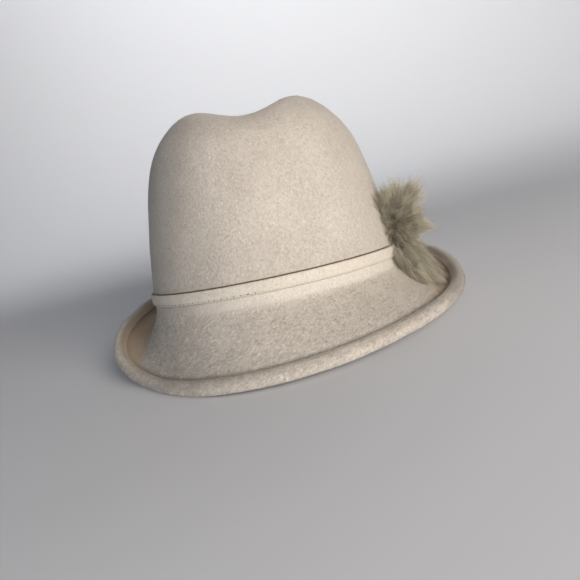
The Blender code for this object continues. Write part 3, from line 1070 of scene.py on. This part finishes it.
# %% [markdown]
# Single hairs
#
# Each hair follows one of the wisps, from a root near the wisp's own to a tip near its tip, with one
# bend of its own. A hair that would run into the felt is moved out along the nearest outer face, as
# real hair is pushed aside by what it lies on. Only outer faces count, since the nearest face of a
# thin sheet may as well be its underside. A hair thins towards its tip.

# %% Hairs along the wisps, kept off the felt
HAIR_REACH = (0.6, 1.04)
DRAWN_TOGETHER = 0.3
HAIR_BULGE = 0.10
HAIR_CRIMP = 0.07
HAIR_TONE = 0.3
FUR_GAP = 0.4 * MM
TAPER_POWER = 1.5
WIDTH_RANGE = (0.7, 1.3)


def fur_paths(count, root_spread, tip_spread, points):
    """Hairs of random wisps, each one root, one bend and one tip, and the tone of each hair."""
    pick = chance.choice(WISPS_OF_FUR, size=count)
    starts = wisp_roots[pick] + chance.normal(0, root_spread, (count, 3))
    ends = starts + (wisp_tips - wisp_roots)[pick] * chance.uniform(*HAIR_REACH, (count, 1))
    ends += (wisp_roots[pick] - starts) * DRAWN_TOGETHER + chance.normal(0, tip_spread, (count, 3))
    span = np.linalg.norm(ends - starts, axis=1)[:, None]
    bend = (starts + ends) * 0.5 + tuft_out * span * HAIR_BULGE
    bend = bend + chance.normal(0, HAIR_CRIMP, (count, 3)) * span
    t = np.linspace(0, 1, points)[None, :, None]
    curves = starts[:, None] * (1 - t) ** 2 + bend[:, None] * 2 * t * (1 - t) + ends[:, None] * t ** 2
    return gather + curves, wisp_tone[pick] + chance.uniform(0, HAIR_TONE, count)


def keep_off_felt(paths, gap):
    """Push hair points that come too near the hood's outer face back out from it."""
    data = felt_hood.data
    middles = np.array([face.center for face in data.polygons])
    normals = np.array([face.normal for face in data.polygons])
    outer = np.nonzero(outer_face(middles, normals))[0].tolist()
    corners = [data.polygons[k].vertices[:] for k in outer]
    tree = BVHTree.FromPolygons([vertex.co for vertex in data.vertices], corners)
    flat = paths.reshape(-1, 3)
    for row in flat:
        place, normal, _, _ = tree.find_nearest(Vector(row))
        height = (Vector(row) - place).dot(normal)
        if height < gap:
            row += np.array(normal) * (gap - height)
    return flat.reshape(paths.shape)


def fur_piece(name, count, root_spread, tip_spread, points, root_width, tip_width):
    """One coat of the fur, on the root body."""
    paths, tones = fur_paths(count, root_spread, tip_spread, points)
    paths = keep_off_felt(paths, FUR_GAP)
    taper = np.linspace(0, 1, points) ** TAPER_POWER
    width = root_width + (tip_width - root_width) * taper
    widths = width[None, :] * chance.uniform(*WIDTH_RANGE, count)[:, None]
    piece = strand_piece(name, paths, widths, tones, unit(chance.normal(0, 1, (count, 3))), np.zeros(count))
    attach(piece, "root")
    return piece


# %% [markdown]
# Rabbit fur as a finish
#
# Hair is keratin, with an IOR of about 1.55. Fine soft fur has no hard glints, so its roughness is a
# middling 0.6 with a weak specular. A hair of this fur is dark at its root, palest about a third of
# the way along and a little duller at its tip, which a colour ramp along the strand gives. The tone
# of each wisp then makes the whole hair darker or lighter.

# %% Fur finish
FUR_SURFACE = {"Roughness": 0.6, "Specular IOR Level": 0.3}
PALEST_AT = 0.30

fur_material = new_material("rabbit_fur")
fur_along = add_node(fur_material, "ShaderNodeAttribute", {"attribute_name": "along"})
fur_tone = add_node(fur_material, "ShaderNodeAttribute", {"attribute_name": "tone"})
ramp = add_node(fur_material, "ShaderNodeValToRGB", links={"Fac": fur_along.outputs["Fac"]})
ramp.color_ramp.elements[0].color = linear("4c4229")
ramp.color_ramp.elements[1].color = linear("b9b19e")
palest = ramp.color_ramp.elements.new(PALEST_AT)
palest.color = linear("d8d0b9")
tone_range = add_node(
    fur_material, "ShaderNodeMapRange", {"To Min": 0.56, "To Max": 1.34}, {"Value": fur_tone.outputs["Fac"]}
)
tinted = add_node(
    fur_material, "ShaderNodeMix", {"data_type": "RGBA", "blend_type": "MULTIPLY", 0: 1.0},
    {6: ramp.outputs["Color"], 7: tone_range.outputs["Result"]},
)
fur_shader = add_node(
    fur_material, "ShaderNodeBsdfPrincipled", FUR_SURFACE, {"Base Color": tinted.outputs[2]}
)
add_node(fur_material, "ShaderNodeOutputMaterial", links={"Surface": fur_shader.outputs["BSDF"]})
print("the fur's colour ramp has", len(ramp.color_ramp.elements), "stops")

# %% [markdown]
# Two coats
#
# A rabbit has a dense, soft underwool and, over it, sparser guard hairs that keep closer to their
# wisp and end in finer tips. The underwool fills the tuft and the guard hairs draw its strokes. Both
# are several times as wide as real hair, so that some fifty thousand of them are enough. Together
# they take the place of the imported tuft.

# %% Underwool and guard hairs
underwool = fur_piece("fur_underwool", 30000, 1.2 * MM, 1.2 * MM, 4, 0.15 * MM, 0.06 * MM)
guard_hair = fur_piece("fur_guard_hair", 24000, 0.9 * MM, 0.8 * MM, 5, 0.11 * MM, 0.03 * MM)
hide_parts("fur_ornament")
for piece in (underwool, guard_hair):
    piece.data.materials.append(fur_material)
